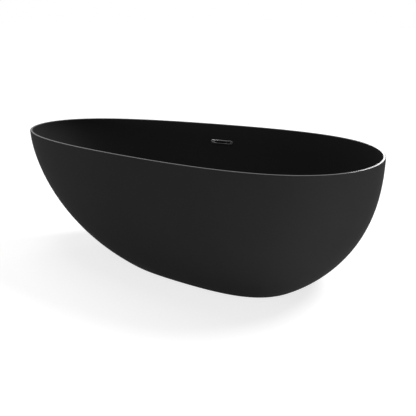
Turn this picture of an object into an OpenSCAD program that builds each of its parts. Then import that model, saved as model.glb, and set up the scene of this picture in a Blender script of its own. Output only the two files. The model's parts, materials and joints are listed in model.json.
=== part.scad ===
// Freestanding egg-shaped bathtub: a moulded basin hung in a smooth outer shell, on a levelled steel frame.
// Millimetres. The origin is on the floor under the middle of the rim, +X points to the wide end and
// +Y to the side that holds the overflow.

/* [Overall] */
// Length over the rim
tub_length = 1700; // [1600:10:1800]
// Width over the rim
tub_width = 820; // [780:10:860]
// Height of the rim above the floor
tub_height = 570; // [550:5:620]

/* [Shell curves] */
// Where the ends' curves run to, measured from the middle towards the wide end
keel_x = 200; // [150:5:250]
// How far below the floor those curves would close
keel_below = 102; // [80:2:160]
// Power of the long slope at the narrow end
narrow_curve = 1.7; // [1.6:0.05:1.8]
// Power of the steep slope at the wide end
wide_curve = 2.4; // [2.2:0.1:2.8]
// Power of the curve of the sides
side_curve = 3.2; // [2.8:0.1:3.6]
// How much the rim's outline swells towards the wide end
rim_skew = 0.20; // [0.16:0.01:0.24]
// How much the rim's outline fills out at both ends
rim_fill = 0.27; // [0.22:0.01:0.32]
// The same swelling where the shell meets the floor
base_skew = 0.15; // [0.10:0.01:0.20]
// The same filling out where the shell meets the floor
base_fill = 0.335; // [0.30:0.005:0.37]

/* [Walls and rim] */
// Thickness of the basin's and the shell's walls
wall = 6; // [5:0.5:6.5]
// Width of the flat rim
rim_width = 14; // [13.5:0.5:18]
// Thickness of the rim's flange over the shell
rim_thick = 6; // [5:0.5:8]
// Radius on the rim's edges
rim_round = 2.5; // [1:0.5:3]
// Gap between the shell's lower edge and the floor
shell_gap = 2; // [1:0.5:4]
// Width of the shell's inward foot flange
foot_flange = 30; // [26:1:36]

/* [Basin] */
// Height of the basin's floor above the ground
floor_height = 135; // [130:1:145]
// Reach of the flat floor towards the narrow end
floor_narrow = 330; // [300:5:350]
// Reach of the flat floor towards the wide end
floor_wide = 560; // [520:5:580]
// Width of the flat floor
floor_width = 380; // [350:5:400]
// How much the floor's outline swells towards the wide end
floor_skew = 0.12; // [0.08:0.01:0.16]
// How much the floor's outline fills out at both ends
floor_fill = 0.30; // [0.26:0.01:0.34]

/* [Frame] */
// Thickness of the board under the floor
board_thick = 15; // [12:1:18]
// Side of the square steel tubes
rail_size = 30; // [25:1:34]
// Wall of the square steel tubes
rail_wall = 2; // [1.5:0.5:3]
// How far the frame's feet stay inside the shell's lower ends
foot_inset = 160; // [150:5:190]
// Length of rail beyond each foot
rail_tail = 32; // [28:1:45]
// Sheet thickness of the brackets
bracket_thick = 3; // [2:0.5:4]
// Width of the brackets
bracket_width = 30; // [26:1:40]
// Distance from a foot to the nearest bracket, along the rail
bracket_offset = 62; // [54:1:80]

/* [Feet] */
// Radius of the foot pads
pad_radius = 22; // [18:1:25]
// Height of the foot pads
pad_height = 8; // [6:1:10]
// Radius of the levelling studs
stud_radius = 6; // [5:0.5:6]
// Travel left above the studs, up to the board
stud_headroom = 10; // [9:1:14]
// Height of the lock nuts and of the nuts in the rails
nut_height = 10; // [8:1:10]

/* [Waste] */
// Radius of the drain's threaded barrel
barrel_radius = 24; // [22:0.5:26]
// Length of the barrel below the floor's seat
barrel_length = 36; // [32:1:38]
// Radius of the drain's visible flange
drain_flange_radius = 35; // [33:1:38]
// Radius of the water way through the drain
drain_bore = 20; // [18:0.5:21]
// Radius of the stopper's cap
cap_radius = 31; // [27:1:32]
// Radius of the outlet pipe
tail_radius = 20; // [19:0.5:20]
// Height of the outlet pipe's end above the ground
tail_end = 4; // [3:0.5:6]

/* [Overflow] */
// Place of the overflow round the rim, counted from the wide end
overflow_angle = 92; // [88:0.5:100]
// Depth of the overflow below the rim
overflow_drop = 84; // [80:1:100]
// Length of the overflow's trim
trim_length = 116; // [112:1:126]
// Height of the overflow's trim
trim_height = 18; // [17:0.5:20]
// Height of the slit in the trim
slit_height = 10; // [9:0.5:10.5]
// Outer radius of the overflow hose
hose_radius = 14; // [13:0.5:15]
// Bend radius of the overflow hose
hose_bend = 80; // [60:1:90]

/* [Hidden] */
$fn = 64;

// Colours
acrylic = [0.09, 0.09, 0.095];
steel_paint = [0.30, 0.31, 0.33];
zinc = [0.72, 0.72, 0.70];
chrome = [0.83, 0.84, 0.86];
rubber = [0.10, 0.10, 0.10];
plywood = [0.72, 0.58, 0.40];
plastic = [0.90, 0.90, 0.88];
grey_plastic = [0.35, 0.36, 0.37];
black_plastic = [0.12, 0.12, 0.13];

// Clearances
fit = 0.05;             // radial, between a thread or shaft and its hole
hole_play = 0.4;        // radial, in a hole that a screw passes through
near = 0.1;             // between a seal and a moulded wall
part_gap = 4;           // between parts that pass each other
past = 1;               // how far a cutter runs past the face that it cuts
weld = 0.5;             // how far one shape of a piece runs into the next

// Fineness of the moulded surfaces
sides = 72;
shell_rows = 18;
basin_rows = 14;
rim_steps = 2;

// ---------------------------------------------------------------- outlines and surfaces

// Highest value of the egg's width curve, which scales the outline to its stated width
function egg_peak(skew, fill) = max([for (a = [0 : 180]) egg_bulge(a, skew, fill)]);
function egg_bulge(a, skew, fill) = sin(a) * (1 + skew * cos(a) + fill * pow(cos(a), 2));

// Point of an egg outline at angle a: e = [narrow end x, wide end x, width, skew, fill, peak]
function egg_point(e, a) =
    [(e[0] + e[1]) / 2 + (e[1] - e[0]) / 2 * cos(a), e[2] / 2 * egg_bulge(a, e[3], e[4]) / e[5]];
function egg(narrow, wide, width, skew, fill) = [narrow, wide, width, skew, fill, egg_peak(skew, fill)];
function egg_half_width(e, x) = egg_point(e, acos((2 * x - e[0] - e[1]) / (e[1] - e[0])))[1];

// Outline of the shell at height z
shell_depth = tub_height + keel_below;
function shrink(z, power) = sqrt(1 - pow((tub_height - z) / shell_depth, power));
function rise(z, low, high) = low + (high - low) * z / tub_height;
function shell_egg(z) = egg(
    keel_x - (keel_x + tub_length / 2) * shrink(z, narrow_curve),
    keel_x + (tub_length / 2 - keel_x) * shrink(z, wide_curve),
    tub_width * shrink(z, side_curve),
    rise(z, base_skew, rim_skew),
    rise(z, base_fill, rim_fill));

angles = [for (i = [0 : sides - 1]) i * 360 / sides];
function ring_of(e) = [for (a = angles) egg_point(e, a)];

// Outward unit normals of a closed ring of points
function ring_normal(ring, i) =
    let (n = len(ring), d = ring[(i + 1) % n] - ring[(i + n - 1) % n])
    [d[1], -d[0]] / norm(d);
function inset_ring(ring, by) = [for (i = [0 : len(ring) - 1]) ring[i] - by * ring_normal(ring, i)];
function lift(ring, z) = [for (p = ring) [p[0], p[1], z]];

rim_outline = ring_of(shell_egg(tub_height));
rim_inner = inset_ring(rim_outline, rim_width);

// Inside of the shell at height z: the outline moved in so that the wall is the same all over
function shell_inside(z) =
    let (ring = ring_of(shell_egg(z)), above = ring_of(shell_egg(z + 1)))
    [for (i = [0 : sides - 1])
        let (n = ring_normal(ring, i), lean = (above[i] - ring[i]) * n)
        ring[i] - wall * sqrt(1 + lean * lean) * n];

// The basin rises from its floor's outline to the rim along a curve that changes round the tub.
// Each rise has two powers: [upper part, foot]
rise_narrow = [1.6, 1.55];
rise_wide = [2.0, 1.8];
rise_side = [1.15, 1.5];
floor_egg = egg(-floor_narrow, floor_wide, floor_width, floor_skew, floor_fill);
basin_depth = tub_height - floor_height;
function rise_powers(a) =
    (cos(a) > 0 ? rise_wide : rise_narrow) * pow(cos(a), 2) + rise_side * pow(sin(a), 2);

// Point of the basin between a floor point and a rim point, at step t from 0 to 90
function basin_point(floor_xy, rim_xy, powers, t) =
    let (xy = floor_xy + (rim_xy - floor_xy) * pow(sin(t), 2 / powers[1]))
    [xy[0], xy[1], floor_height + basin_depth * (1 - pow(cos(t), 2 / powers[0]))];
basin_inside = [for (j = [0 : basin_rows])
    [for (i = [0 : sides - 1]) let (a = angles[i])
        basin_point(egg_point(floor_egg, a), rim_inner[i], rise_powers(a), j * 90 / basin_rows)]];

// Normal of the basin's surface at a grid point, pointing away from the water
function basin_normal(j, i) =
    j == 0 ? [0, 0, -1] :
    let (along = basin_inside[j][(i + 1) % sides] - basin_inside[j][(i + sides - 1) % sides],
         up = basin_inside[j + 1][i] - basin_inside[j - 1][i],
         n = cross(along, up))
    n / norm(n);
basin_outside = [for (j = [0 : basin_rows - 1])
    [for (i = [0 : sides - 1]) basin_inside[j][i] + wall * basin_normal(j, i)]];

// A closed skin over a stack of rings. A tube joins the last ring to the first, a vessel has flat ends
module skin(rings, tube) {
    count = len(rings);
    around = len(rings[0]);
    bands = tube ? count : count - 1;
    walls = [for (j = [0 : bands - 1]) for (i = [0 : around - 1])
        let (next = (i + 1) % around, up = (j + 1) % count)
        each [
            [j * around + i, up * around + next, j * around + next],
            [j * around + i, up * around + i, up * around + next]
        ]];
    ends = [
        [for (i = [0 : around - 1]) i],
        [for (i = [0 : around - 1]) count * around - 1 - i]
    ];
    polyhedron([for (ring = rings) each ring], concat(walls, tube ? [] : ends));
}

// The rim from its outer edge to its inner edge, with a quarter arc on each
rim_arc = [for (k = [0 : rim_steps]) k * 90 / rim_steps];
rim_rings = concat(
    [for (a = rim_arc) lift(inset_ring(rim_outline, rim_round * (1 - cos(a))),
        tub_height - rim_round * (1 - sin(a)))],
    [for (a = rim_arc) lift(inset_ring(rim_outline, rim_width - rim_round * (1 - sin(a))),
        tub_height - rim_round * (1 - cos(a)))]);

// ---------------------------------------------------------------- heights and places

seam_z = tub_height - rim_thick;
flange_top = shell_gap + wall;
floor_under = floor_height - wall;
board_bottom = floor_under - board_thick;
rail_bottom = board_bottom - rail_size;

// Feet, rails and brackets
base_egg = shell_egg(shell_gap);
narrow_foot_x = base_egg[0] + foot_inset;
wide_foot_x = base_egg[1] - foot_inset;
middle_foot_x = (narrow_foot_x + wide_foot_x) / 2;
foot_room = foot_flange + pad_radius + part_gap;
narrow_pad_end = narrow_foot_x - pad_radius;
wide_pad_end = wide_foot_x + pad_radius;
rail_y = min(egg_half_width(base_egg, narrow_pad_end), egg_half_width(base_egg, wide_pad_end)) - foot_room;
rail_face = rail_y + rail_size / 2;
rail_left = narrow_foot_x - rail_tail;
rail_right = wide_foot_x + rail_tail;
foot_places = [
    [narrow_foot_x, -rail_y], [wide_foot_x, -rail_y],
    [narrow_foot_x, rail_y], [wide_foot_x, rail_y],
    [middle_foot_x, 0]
];
bracket_xs = [narrow_foot_x + bracket_offset, wide_foot_x - bracket_offset];
stud_top = board_bottom - stud_headroom;

// Drain and overflow stand in one upright plane, square to the basin's wall at the overflow
overflow_z = tub_height - overflow_drop;
function wall_step(a) = acos(pow(1 - (overflow_z - floor_height) / basin_depth, rise_powers(a)[0] / 2));
function rim_inner_at(a) =
    let (e = shell_egg(tub_height), d = egg_point(e, a + 1) - egg_point(e, a - 1))
    egg_point(e, a) - rim_width * [d[1], -d[0]] / norm(d);
function wall_point(a, dt = 0) =
    basin_point(egg_point(floor_egg, a), rim_inner_at(a), rise_powers(a), wall_step(a) + dt);
overflow_point = wall_point(overflow_angle);
overflow_run = wall_point(overflow_angle + 2) - wall_point(overflow_angle - 2);
overflow_turn = atan2(-overflow_run[1], -overflow_run[0]);
overflow_climb = wall_point(overflow_angle, 1) - wall_point(overflow_angle, -1);
plane_out = [-sin(overflow_turn), cos(overflow_turn)];
overflow_tilt = atan2([overflow_climb[0], overflow_climb[1]] * plane_out, overflow_climb[2]);
drain_x = overflow_point[0] + overflow_point[1] * tan(overflow_turn);
overflow_reach = overflow_point[1] / cos(overflow_turn);

// Drain and waste, from the floor down
recess_depth = 3;
recess_play = 2;
recess_radius = drain_flange_radius + recess_play;
boss_margin = 7;
boss_radius = drain_flange_radius + boss_margin;
seat_z = floor_height - recess_depth;
boss_bottom = seat_z - wall;
drain_gasket = 1.5;
drain_flange_thick = 2.5;
drain_flange_edge = 1.5;
drain_top = seat_z + drain_gasket + drain_flange_thick;
barrel_bottom = seat_z - barrel_length;
barrel_play = 2;
collar_radius = drain_flange_radius;
collar_top = boss_bottom - drain_gasket;
collar_thick = 8;
body_wall = 5.5;
body_radius = barrel_radius + body_wall;
inlet_z = rail_bottom - hose_radius - part_gap;
hose_wall = 2;
spigot_radius = hose_radius - hose_wall - fit;
spigot_wall = 2.5;
spigot_bore = spigot_radius - spigot_wall;
spigot_length = 30;
chamber_bottom = inlet_z - spigot_radius - part_gap;
outlet_wall = 4;
outlet_length = 12;
outlet_bottom = chamber_bottom - outlet_wall - outlet_length;
tail_wall = 2.5;
washer_thick = 2.5;
tail_flange = 3;
tail_flange_z = outlet_bottom - washer_thick;
lip_thick = 3;
nut_wall = 5;
slip_nut_bottom = tail_flange_z - tail_flange - lip_thick;
slip_nut_height = 17;
neck_depth = 0.4;

// Stopper
stem_radius = 3;
cartridge_radius = 6.5;
cartridge_wall = 1.1;
cartridge_drop = 30;
cartridge_bottom = seat_z - cartridge_drop;
cartridge_length = 26;
cartridge_floor = 2.5;
cartridge_lid = 1.5;
hub_height = 5;
hub_bottom = cartridge_bottom - hub_height;
hub_radius = 9;
arm_width = 4;
thread_radius = 4;
cap_thick = 5;
cap_press = 1.5;
cap_gap = 0.4;
cap_bottom = drain_top + cap_press + cap_gap;
seal_play = 0.3;
seal_radius = drain_bore - seal_play;
seal_height = 5;
collar_rest = 10;
stem_collar = 1.5;
stem_collar_play = 0.4;
stem_collar_radius = cartridge_radius - cartridge_wall - stem_collar_play;
spring_wire = 0.8;
spring_play = 1.2;
spring_radius = stem_radius + spring_play;
spring_turns = 5;
spring_sides = 8;
spring_steps = 12;
spring_bottom = cartridge_bottom + cartridge_floor;
spring_top = cartridge_bottom + collar_rest;

// Overflow, in its own frame: x along the slit, y through the wall away from the water, z up the wall
trim_seat = 0.8;
trim_thick = 2.5;
trim_border = 8;
slit_length = trim_length - 2 * trim_border;
sleeve_wall = 2;
sleeve_length = slit_length + 2 * sleeve_wall;
sleeve_height = slit_height + 2 * sleeve_wall;
sleeve_play = 1;
sleeve_end = 10;
gasket_face = wall + near;
overflow_gasket_thick = 3;
body_face = gasket_face + overflow_gasket_thick;
body_depth = 10;
ear_length = 10;
ear_back = 8;
ear_front = 3;
ear_x = slit_length / 2 - ear_length / 2;
gasket_border = 5;
gasket_height = trim_height + 2 * gasket_border;
body_border = 2;
body_width = trim_length + 2 * body_border;
chamber_wall = 2.5;
chamber_half = slit_length / 2 - ear_length - chamber_wall;
spigot_sink = 0.6;
spigot_y = body_face + hose_radius - spigot_sink;
throat_drop = 6;
throat_top = -gasket_height / 2 - throat_drop;
throat_length = 40;
throat_bottom = throat_top - throat_length;
neck_length = 18;
chamber_foot = throat_bottom - neck_length;
overflow_spigot = 22;
hose_gap = 2;
hose_start = chamber_foot - hose_gap;
screw_m4 = 2;

// Hose: down along the overflow's own z, round one bend, and level into the waste body
function in_plane(y, z) = [
    overflow_reach + y * cos(overflow_tilt) + z * sin(overflow_tilt),
    overflow_z - y * sin(overflow_tilt) + z * cos(overflow_tilt)
];
hose_top = in_plane(spigot_y, hose_start);
bend_z = inlet_z + hose_bend;
drop_end_z = bend_z - hose_bend * sin(overflow_tilt);
drop_length = (hose_top[1] - drop_end_z) / cos(overflow_tilt);
bend_reach = hose_top[0] - drop_length * sin(overflow_tilt) - hose_bend * cos(overflow_tilt);
hose_end = body_radius + part_gap;
clip_width = 9;
clip_thick = 1.2;
clip_place = 12;

// ---------------------------------------------------------------- shared shapes

module in_waste_plane() {
    translate([drain_x, 0, 0]) rotate([0, 0, overflow_turn]) children();
}

module at_overflow() {
    in_waste_plane() translate([0, overflow_reach, overflow_z]) rotate([-overflow_tilt, 0, 0]) children();
}

// Bar with round ends along x, centred, from y0 to y1
module stadium(length, height, y0, y1) {
    translate([0, y1, 0]) rotate([90, 0, 0]) linear_extrude(y1 - y0) {
        square([length - height, height], center = true);
        for (side = [-1, 1]) translate([side * (length - height) / 2, 0]) circle(height / 2);
    }
}

module tube(outer, inner, z0, z1) {
    translate([0, 0, z0]) difference() {
        cylinder(h = z1 - z0, r = outer);
        translate([0, 0, -past]) cylinder(h = z1 - z0 + 2 * past, r = inner);
    }
}

module rod(radius, z0, z1) {
    translate([0, 0, z0]) cylinder(h = z1 - z0, r = radius);
}

// Six-sided nut or head, measured across its flats
module hexagon(flats, z0, z1) {
    translate([0, 0, z0]) cylinder(h = z1 - z0, r = flats / sqrt(3), $fn = 6);
}

module hex_nut(flats, bore, z0, z1) {
    difference() {
        hexagon(flats, z0, z1);
        rod(bore, z0 - past, z1 + past);
    }
}

// ---------------------------------------------------------------- basin and shell

module inner_basin() {
    color(acrylic) difference() {
        union() {
            skin(concat(
                basin_outside,
                [lift(inset_ring(rim_outline, rim_width - wall), seam_z), lift(rim_outline, seam_z)],
                rim_rings,
                [for (j = [basin_rows - 1 : -1 : 0]) basin_inside[j]]), false);
            in_waste_plane() rod(boss_radius, boss_bottom, floor_height - wall / 2);
        }
        in_waste_plane() {
            rod(recess_radius, seat_z, floor_height + past);
            rod(barrel_radius + barrel_play, boss_bottom - past, floor_height);
        }
        at_overflow() stadium(sleeve_length + sleeve_play, sleeve_height + sleeve_play, -wall, 2 * wall);
    }
}

module outer_shell() {
    levels = [for (j = [0 : shell_rows]) shell_gap + (seam_z - shell_gap) * j / shell_rows];
    foot_ring = inset_ring(ring_of(base_egg), foot_flange);
    color(acrylic) difference() {
        skin(concat(
            [for (z = levels) lift(ring_of(shell_egg(z)), z)],
            [for (j = [shell_rows : -1 : 1]) lift(shell_inside(levels[j]), levels[j])],
            [lift(shell_inside(flange_top), flange_top)],
            [lift(foot_ring, flange_top), lift(foot_ring, shell_gap)]
        ), true);
        flange_screw_places()
            rod(screw_flange + fit, flange_top - screw_bite - screw_tip, flange_top + past);
    }
}

// ---------------------------------------------------------------- board and rails

board_margin = 12;
boss_play = 1;
screw_board = 2.5;
board_bite = 10;
screw_tip = 1;
screws_per_rail = 4;
screw_margin = 28;
screw_row = wide_foot_x - narrow_foot_x - 2 * screw_margin;
board_screw_xs = [for (i = [0 : screws_per_rail - 1])
    narrow_foot_x + screw_margin + screw_row * i / (screws_per_rail - 1)];

module board_screw_places() {
    for (x = board_screw_xs) for (side = [-1, 1]) translate([x, side * rail_y, 0]) children();
}

module base_board() {
    color(plywood) difference() {
        translate([0, 0, board_bottom]) linear_extrude(board_thick)
            polygon(inset_ring(ring_of(floor_egg), board_margin));
        in_waste_plane() rod(boss_radius + boss_play, board_bottom - past, floor_under + past);
        board_screw_places()
            rod(screw_board + fit, board_bottom - past, board_bottom + board_bite + screw_tip);
    }
}

// Square tube along x or y, with its length centred
module square_tube(length) {
    difference() {
        cube([length, rail_size, rail_size], center = true);
        cube([length + 2 * past, rail_size - 2 * rail_wall, rail_size - 2 * rail_wall], center = true);
    }
}

rail_z = board_bottom - rail_size / 2;
bolt_radius = 3;
bolt_spacing = 14;
bolt_zs = [rail_z - bolt_spacing / 2, rail_z + bolt_spacing / 2];

module bolt_places(side, x) {
    for (z = bolt_zs) translate([x, side * rail_face, z]) rotate([-90 * side, 0, 0]) children();
}

module stud_hole() {
    rod(stud_radius + hole_play, rail_bottom - past, rail_bottom + rail_wall + past);
}

module long_rail(side) {
    color(steel_paint) difference() {
        translate([(rail_left + rail_right) / 2, side * rail_y, rail_z]) square_tube(rail_right - rail_left);
        for (x = [narrow_foot_x, wide_foot_x]) translate([x, side * rail_y, 0])
            stud_hole();
        for (x = board_screw_xs) translate([x, side * rail_y, 0])
            rod(screw_board + hole_play, rail_bottom - past, board_bottom + past);
        for (x = bracket_xs) bolt_places(side, x) rod(bolt_radius + fit, -rail_wall - past, past);
    }
}

module cross_rail(x, footed) {
    span = 2 * rail_y - rail_size;
    color(steel_paint) difference() {
        translate([x, 0, rail_z]) rotate([0, 0, 90]) square_tube(span);
        if (footed) translate([x, 0, 0]) stud_hole();
    }
}

module front_rail() { long_rail(-1); }
module rear_rail() { long_rail(1); }
module narrow_end_cross_rail() { cross_rail(narrow_foot_x + 2 * rail_size, false); }
module middle_cross_rail() { cross_rail(middle_foot_x, true); }
module wide_end_cross_rail() { cross_rail(wide_foot_x - 2 * rail_size, false); }

module rail_end_caps() {
    face = 2;
    plug = 10;
    snug = rail_size - 2 * rail_wall - 2 * fit;
    color(rubber) for (side = [-1, 1]) for (end = [[rail_left, -1], [rail_right, 1]])
        translate([end[0], side * rail_y, rail_z]) union() {
            translate([end[1] * face / 2, 0, 0]) cube([face, rail_size, rail_size], center = true);
            translate([-end[1] * plug / 2, 0, 0]) cube([plug, snug, snug], center = true);
        }
}

// Pan-head screw that points up, with its head's upper face at z = 0
module pan_screw(shank, head, head_height, length) {
    difference() {
        union() {
            rod(head, -head_height, 0);
            rod(shank, -head_height / 2, length);
        }
        hexagon(shank * 1.2, -head_height - past, -head_height / 2);
    }
}

module board_screws() {
    head = 5;
    head_height = 3;
    color(zinc) board_screw_places() translate([0, 0, rail_bottom])
        pan_screw(screw_board, head, head_height, rail_size + board_bite);
}

// ---------------------------------------------------------------- brackets to the shell

screw_flange = 2.5;
screw_cover = 2;
screw_bite = wall - screw_cover;
flange_rest = 18;
flange_edge = 12;

function bracket_reach(x) = egg_half_width(base_egg, x) - flange_edge;

module flange_screw_places() {
    for (x = bracket_xs) for (side = [-1, 1])
        translate([x, side * (bracket_reach(x) - flange_rest / 2), 0]) children();
}

module bracket(side, x) {
    reach = bracket_reach(x);
    leg_rise = 13;
    leg_top = rail_z + leg_rise;
    rib = 24;
    color(steel_paint) difference() {
        union() {
            translate([x - bracket_width / 2, side > 0 ? rail_face : -rail_face - bracket_thick, flange_top])
                cube([bracket_width, bracket_thick, leg_top - flange_top]);
            translate([x - bracket_width / 2, side > 0 ? rail_face : -reach, flange_top])
                cube([bracket_width, reach - rail_face, bracket_thick]);
            translate([x + bracket_thick / 2, 0, 0]) rotate([90, 0, -90]) linear_extrude(bracket_thick)
                polygon([for (p = [[0, 0], [rib, 0], [0, rib]])
                    [-side * (rail_face + bracket_thick / 2 + p[0]), flange_top + bracket_thick / 2 + p[1]]]);
        }
        bolt_places(side, x) rod(bolt_radius + hole_play, -past, bracket_thick + past);
        flange_screw_places()
            rod(screw_flange + hole_play, flange_top - past, flange_top + bracket_thick + past);
    }
}

module front_narrow_bracket() { bracket(-1, bracket_xs[0]); }
module front_wide_bracket() { bracket(-1, bracket_xs[1]); }
module rear_narrow_bracket() { bracket(1, bracket_xs[0]); }
module rear_wide_bracket() { bracket(1, bracket_xs[1]); }

module bracket_bolts() {
    bolt_flats = 10;
    bolt_head = 4;
    bolt_bite = 9;
    color(zinc) for (side = [-1, 1]) for (x = bracket_xs) bolt_places(side, x) union() {
        hexagon(bolt_flats, bracket_thick, bracket_thick + bolt_head);
        rod(bolt_radius, -bolt_bite, bracket_thick + bolt_head / 2);
    }
}

module flange_screws() {
    head = 4.5;
    head_height = 2.5;
    color(zinc) flange_screw_places() translate([0, 0, flange_top + bracket_thick]) mirror([0, 0, 1])
        pan_screw(screw_flange, head, head_height, bracket_thick + screw_bite);
}

// ---------------------------------------------------------------- levelling feet

nut_flats = 19;

module weld_nuts() {
    color(zinc) for (p = foot_places) translate(p)
        hex_nut(nut_flats, stud_radius + fit, rail_bottom + rail_wall, rail_bottom + rail_wall + nut_height);
}

module lock_nuts() {
    color(zinc) for (p = foot_places) translate(p)
        hex_nut(nut_flats, stud_radius + fit, rail_bottom - nut_height, rail_bottom);
}

// Pad with a domed top and a socket that the stud's foot turns in
socket_depth = 4;
module foot_pad(k) {
    edge = 1;
    crown = 6;
    color(rubber) translate(foot_places[k]) rotate_extrude() polygon([
        [0, 0], [pad_radius - edge, 0], [pad_radius, edge], [pad_radius, pad_height / 2],
        [stud_radius + crown, pad_height], [stud_radius + fit, pad_height],
        [stud_radius + fit, pad_height - socket_depth], [0, pad_height - socket_depth]
    ]);
}

module foot_stud(k) {
    chamfer = 1;
    collar_flats = 17;
    collar_gap = 4;
    collar_base = pad_height + collar_gap;
    collar_height = 6;
    color(zinc) translate(foot_places[k]) union() {
        rod(stud_radius, pad_height - socket_depth, stud_top - chamfer);
        translate([0, 0, stud_top - chamfer])
            cylinder(h = chamfer, r1 = stud_radius, r2 = stud_radius - chamfer);
        hexagon(collar_flats, collar_base, collar_base + collar_height);
    }
}

module front_narrow_pad() { foot_pad(0); }
module front_wide_pad() { foot_pad(1); }
module rear_narrow_pad() { foot_pad(2); }
module rear_wide_pad() { foot_pad(3); }
module middle_pad() { foot_pad(4); }
module front_narrow_stud() { foot_stud(0); }
module front_wide_stud() { foot_stud(1); }
module rear_narrow_stud() { foot_stud(2); }
module rear_wide_stud() { foot_stud(3); }
module middle_stud() { foot_stud(4); }

// ---------------------------------------------------------------- drain and stopper

gasket_play = 0.5;

module upper_drain_gasket() {
    border = 2;
    color(rubber) in_waste_plane()
        tube(drain_flange_radius - border, barrel_radius + gasket_play, seat_z, seat_z + drain_gasket);
}

module lower_drain_gasket() {
    border = 1;
    color(rubber) in_waste_plane()
        tube(collar_radius - border, barrel_radius + gasket_play, collar_top, boss_bottom);
}

module drain_flange() {
    color(chrome) in_waste_plane() {
        difference() {
            union() {
                rotate_extrude() polygon([
                    [drain_bore, seat_z + drain_gasket], [drain_flange_radius, seat_z + drain_gasket],
                    [drain_flange_radius, drain_top - drain_flange_edge],
                    [drain_flange_radius - drain_flange_edge, drain_top],
                    [drain_bore, drain_top]
                ]);
                tube(barrel_radius, drain_bore, barrel_bottom, seat_z + drain_gasket);
                for (turn = [0, 90]) rotate([0, 0, turn])
                    translate([-drain_bore - weld, -arm_width / 2, hub_bottom])
                        cube([2 * (drain_bore + weld), arm_width, hub_height]);
                rod(hub_radius, hub_bottom, cartridge_bottom);
            }
            rod(thread_radius + fit, hub_bottom - past, cartridge_bottom + past);
        }
    }
}

module stopper_cartridge() {
    top = cartridge_bottom + cartridge_length;
    thread_end = 3;
    color(zinc) in_waste_plane() difference() {
        union() {
            rod(cartridge_radius, cartridge_bottom, top);
            rod(thread_radius, hub_bottom - thread_end, cartridge_bottom + weld);
        }
        rod(cartridge_radius - cartridge_wall, spring_bottom, top - cartridge_lid);
        rod(stem_radius + fit, spring_bottom, top + past);
    }
}

module stopper_stem() {
    color(chrome) in_waste_plane() union() {
        rod(stem_radius, spring_top, cap_bottom);
        rod(stem_collar_radius, spring_top, spring_top + stem_collar);
    }
}

module drain_cap() {
    top = cap_bottom + cap_thick;
    edge = 1;
    dome = 2;
    crown = 0.7;
    flat_top = 0.6;
    color(chrome) in_waste_plane() rotate_extrude() polygon([
        [0, cap_bottom], [cap_radius - edge, cap_bottom], [cap_radius, cap_bottom + edge],
        [cap_radius, top - dome], [cap_radius - dome, top - crown],
        [cap_radius * flat_top, top], [0, top]
    ]);
}

module stopper_seal() {
    bottom = cap_bottom - seal_height;
    lead = 3;
    lip = 1.5;
    groove = 1;
    color(rubber) in_waste_plane() rotate_extrude() polygon([
        [stem_radius + near, bottom], [seal_radius - lead, bottom],
        [seal_radius, bottom + lip], [seal_radius, cap_bottom - lip],
        [seal_radius - groove, cap_bottom], [stem_radius + near, cap_bottom]
    ]);
}

// Coil spring round the stem, inside the cartridge
spring_rise = spring_top - spring_bottom - 2 * spring_wire;
function spring_ring(k) =
    let (turn = k * 360 / spring_steps,
         z = spring_bottom + spring_wire + spring_rise * k / (spring_turns * spring_steps))
    [for (s = [0 : spring_sides - 1])
        let (a = s * 360 / spring_sides, r = spring_radius + spring_wire / 2 * cos(a))
        [r * cos(turn), r * sin(turn), z + spring_wire / 2 * sin(a)]];

module stopper_spring() {
    color(zinc) in_waste_plane()
        skin([for (k = [spring_turns * spring_steps : -1 : 0]) spring_ring(k)], false);
}

// ---------------------------------------------------------------- waste body and outlet

module waste_body() {
    spigot_end = body_radius + spigot_length;
    color(plastic) in_waste_plane() difference() {
        union() {
            rod(collar_radius, collar_top - collar_thick, collar_top);
            rod(body_radius, chamber_bottom - outlet_wall, collar_top);
            rod(barrel_radius, outlet_bottom, chamber_bottom);
            translate([0, 0, inlet_z]) rotate([-90, 0, 0]) rod(spigot_radius, 0, spigot_end);
        }
        rod(barrel_radius + fit, barrel_bottom - past, collar_top + past);
        rod(barrel_radius, chamber_bottom, barrel_bottom);
        rod(tail_radius - tail_wall, outlet_bottom - past, chamber_bottom + past);
        translate([0, 0, inlet_z]) rotate([-90, 0, 0]) rod(spigot_bore, 0, spigot_end + past);
    }
}

tail_flange_radius = barrel_radius - gasket_play;
neck_end = slip_nut_bottom - weld;

module slip_washer() {
    color(rubber) in_waste_plane()
        tube(tail_flange_radius, tail_radius - tail_wall, tail_flange_z, outlet_bottom);
}

module tailpiece() {
    neck_top = tail_flange_z - tail_flange;
    bore = tail_radius - tail_wall;
    color(chrome) in_waste_plane() union() {
        tube(tail_flange_radius, bore, neck_top, tail_flange_z);
        tube(tail_radius - neck_depth, bore, neck_end, neck_top);
        tube(tail_radius, bore, tail_end, neck_end);
    }
}

module slip_nut() {
    ribs = 12;
    rib_height = 1;
    rib_width = 4;
    neck_play = 0.3;
    outside = barrel_radius + nut_wall;
    top = slip_nut_bottom + slip_nut_height;
    color(plastic) in_waste_plane() difference() {
        union() {
            rod(outside - rib_height, slip_nut_bottom, top);
            for (k = [0 : ribs - 1]) rotate([0, 0, k * 360 / ribs])
                translate([outside - 2 * rib_height, -rib_width / 2, slip_nut_bottom])
                    cube([2 * rib_height, rib_width, slip_nut_height]);
        }
        rod(tail_radius - neck_depth + neck_play, slip_nut_bottom - past, slip_nut_bottom + lip_thick + past);
        rod(barrel_radius + fit, slip_nut_bottom + lip_thick, top + past);
    }
}

// ---------------------------------------------------------------- overflow

module ear_screw_places() {
    for (side = [-1, 1]) translate([side * ear_x, 0, 0]) rotate([-90, 0, 0]) children();
}

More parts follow.
